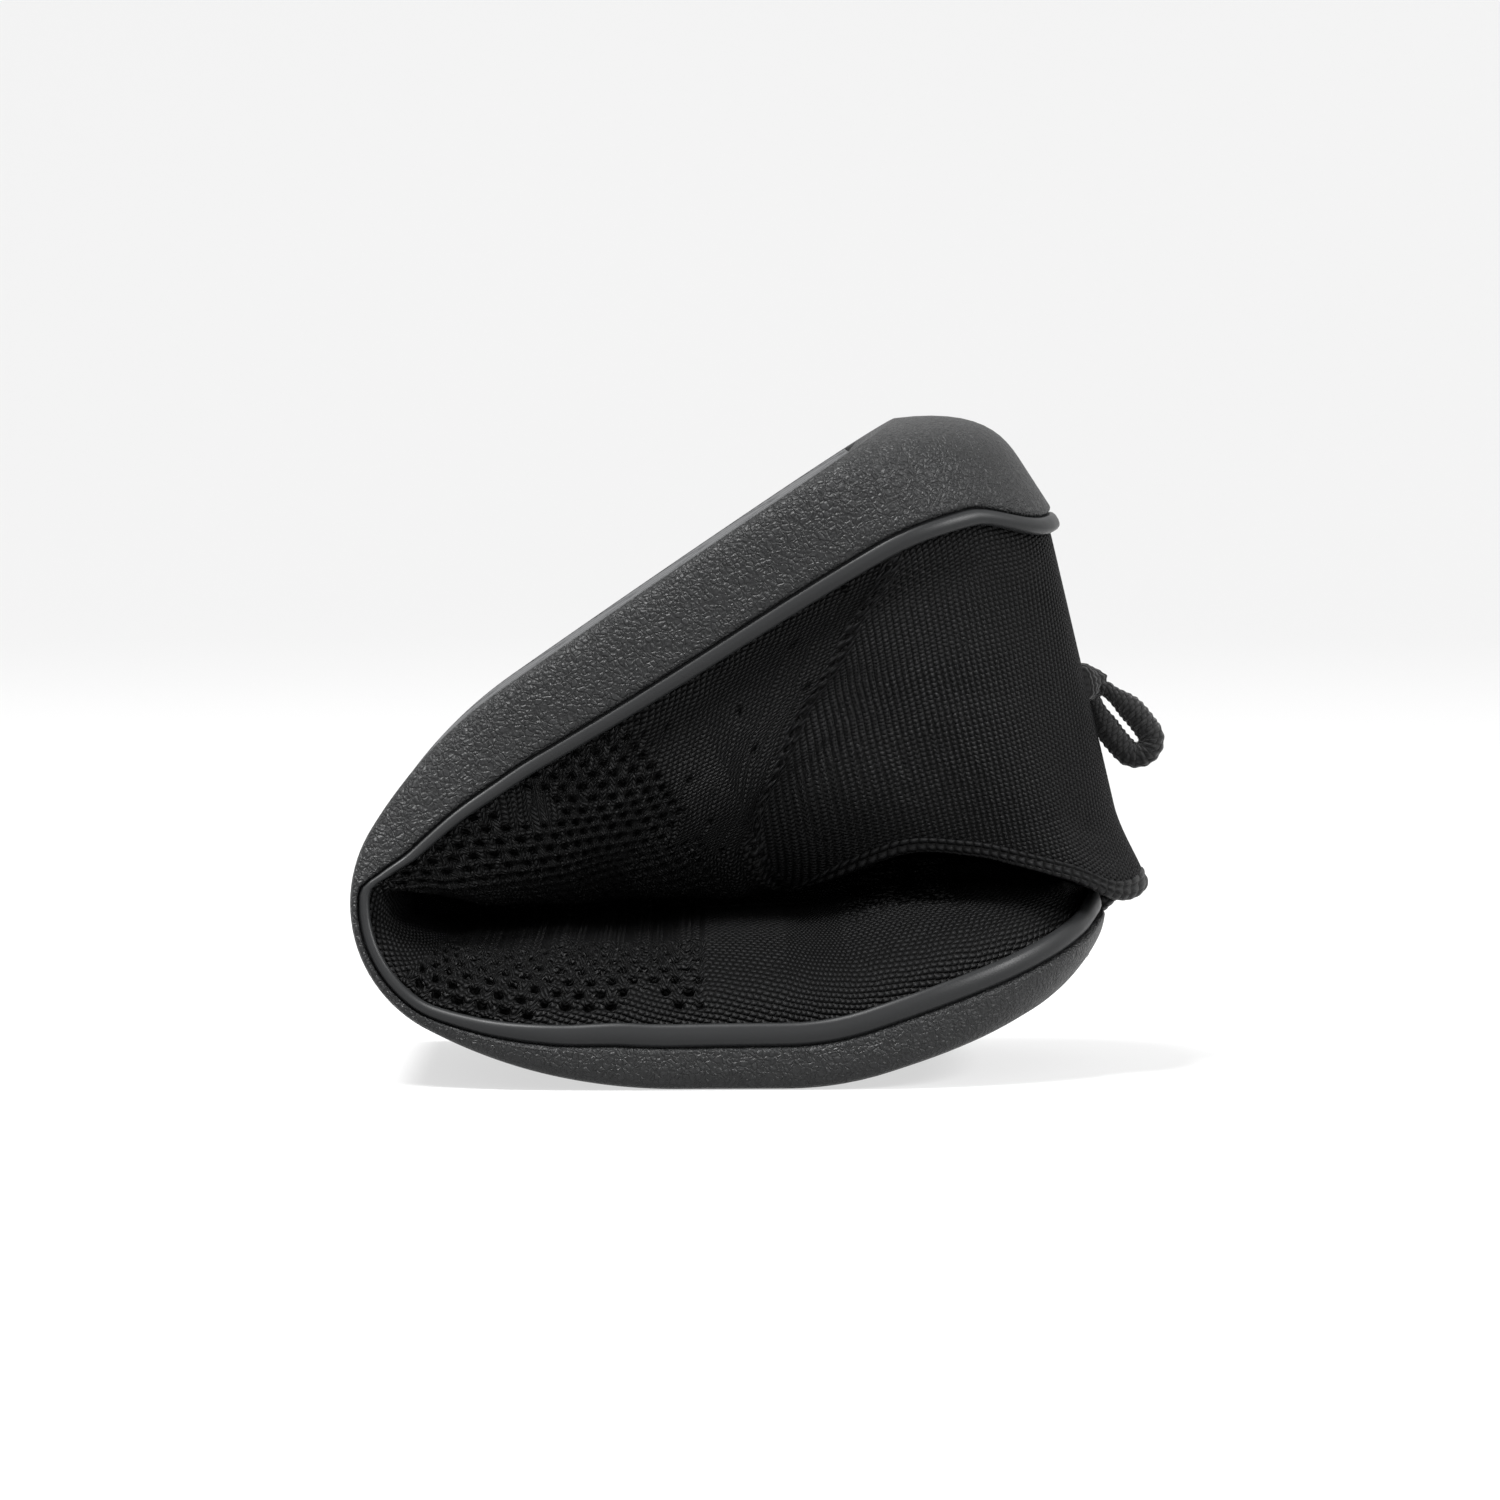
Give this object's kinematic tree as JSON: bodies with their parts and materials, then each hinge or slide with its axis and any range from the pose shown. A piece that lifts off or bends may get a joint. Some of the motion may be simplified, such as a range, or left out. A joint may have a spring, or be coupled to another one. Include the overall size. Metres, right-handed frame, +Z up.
{
  "type": "knit slip-on running shoe folded in half",
  "caption": "Slip-on knit running shoe folded across its flexible sole, heel over toe, with a rib-knit heel and a webbing pull loop.",
  "frame": {"origin": "on the floor under the flat of the forefoot that the folded shoe rests on, 7 mm toward the bend from its middle", "axes": "+X toward the toe, -Y the outer side of the right foot, +Z up; the fold's bend is at -X and its axis is Y"},
  "size_m": [0.1392, 0.097, 0.1121],
  "materials": {
    "sole": "matt charcoal foam rubber with a fine leather-like pebble grain",
    "tread": "smooth charcoal rubber tread panel",
    "band": "smooth satin charcoal rubber",
    "board": "pale non-woven board",
    "insole": "dark cloth over foam",
    "knit": "near-black engineered knit",
    "rib_knit": "near-black fine rib knit",
    "film": "translucent heat-set film",
    "lining": "dark brushed lining",
    "webbing": "near-black round webbing"
  },
  "bodies": {
    "front": {"insole_front": "insole", "knit_upper_front": "knit", "rim_band_front": "band", "sole_unit_front": "sole", "strobel_board_front": "board", "toe_puff": "film", "tread_front": "tread"},
    "bend_1": {"insole_bend_1": "insole", "knit_upper_bend_1": "knit", "rim_band_bend_1_inner": "band", "rim_band_bend_1_outer": "band", "sole_unit_bend_1": "sole", "strobel_board_bend_1": "board"},
    "bend_2": {"insole_bend_2": "insole", "knit_upper_bend_2": "knit", "rim_band_bend_2_inner": "band", "rim_band_bend_2_outer": "band", "sole_unit_bend_2": "sole", "strobel_board_bend_2": "board"},
    "bend_3": {"insole_bend_3": "insole", "knit_upper_bend_3": "knit", "rim_band_bend_3_inner": "band", "rim_band_bend_3_outer": "band", "sole_unit_bend_3": "sole", "strobel_board_bend_3": "board"},
    "bend_4": {"insole_bend_4": "insole", "knit_upper_bend_4": "knit", "rim_band_bend_4_inner": "band", "rim_band_bend_4_outer": "band", "sole_unit_bend_4": "sole", "strobel_board_bend_4": "board"},
    "rear": {"collar_welt": "rib_knit", "heel_counter": "film", "heel_lining": "lining", "heel_rib_knit": "rib_knit", "insole_rear": "insole", "knit_upper_rear": "knit", "loop_anchor": "webbing", "rim_band_rear": "band", "sole_unit_rear": "sole", "strobel_board_rear": "board", "tread_rear": "tread"},
    "pull_loop": {"pull_loop": "webbing"}
  },
  "joints": [
    {"name": "fold_1", "type": "hinge", "parent": "front", "child": "bend_1", "pos_m": [-0.02748, 0, 0.00349], "axis": [0, -1, 0], "range_deg": [0, 24]},
    {"name": "fold_2", "type": "hinge", "parent": "bend_1", "child": "bend_2", "pos_m": [-0.04859, 0, 0.01294], "axis": [0, -1, 0], "range_deg": [0, 31]},
    {"name": "fold_3", "type": "hinge", "parent": "bend_2", "child": "bend_3", "pos_m": [-0.05485, 0, 0.02188], "axis": [0, -1, 0], "range_deg": [0, 27]},
    {"name": "fold_4", "type": "hinge", "parent": "bend_3", "child": "bend_4", "pos_m": [-0.05627, 0, 0.0327], "axis": [0, -1, 0], "range_deg": [0, 34]},
    {"name": "fold_5", "type": "hinge", "parent": "bend_4", "child": "rear", "pos_m": [-0.04808, 0, 0.04938], "axis": [0, -1, 0], "range_deg": [0, 29.5]},
    {"name": "loop_swing", "type": "hinge", "parent": "rear", "child": "pull_loop", "pos_m": [0.0708, 0, 0.066], "axis": [0, -1, 0], "range_deg": [-8, 70], "stiffness_Nm_per_rad": 0.002}
  ]
}
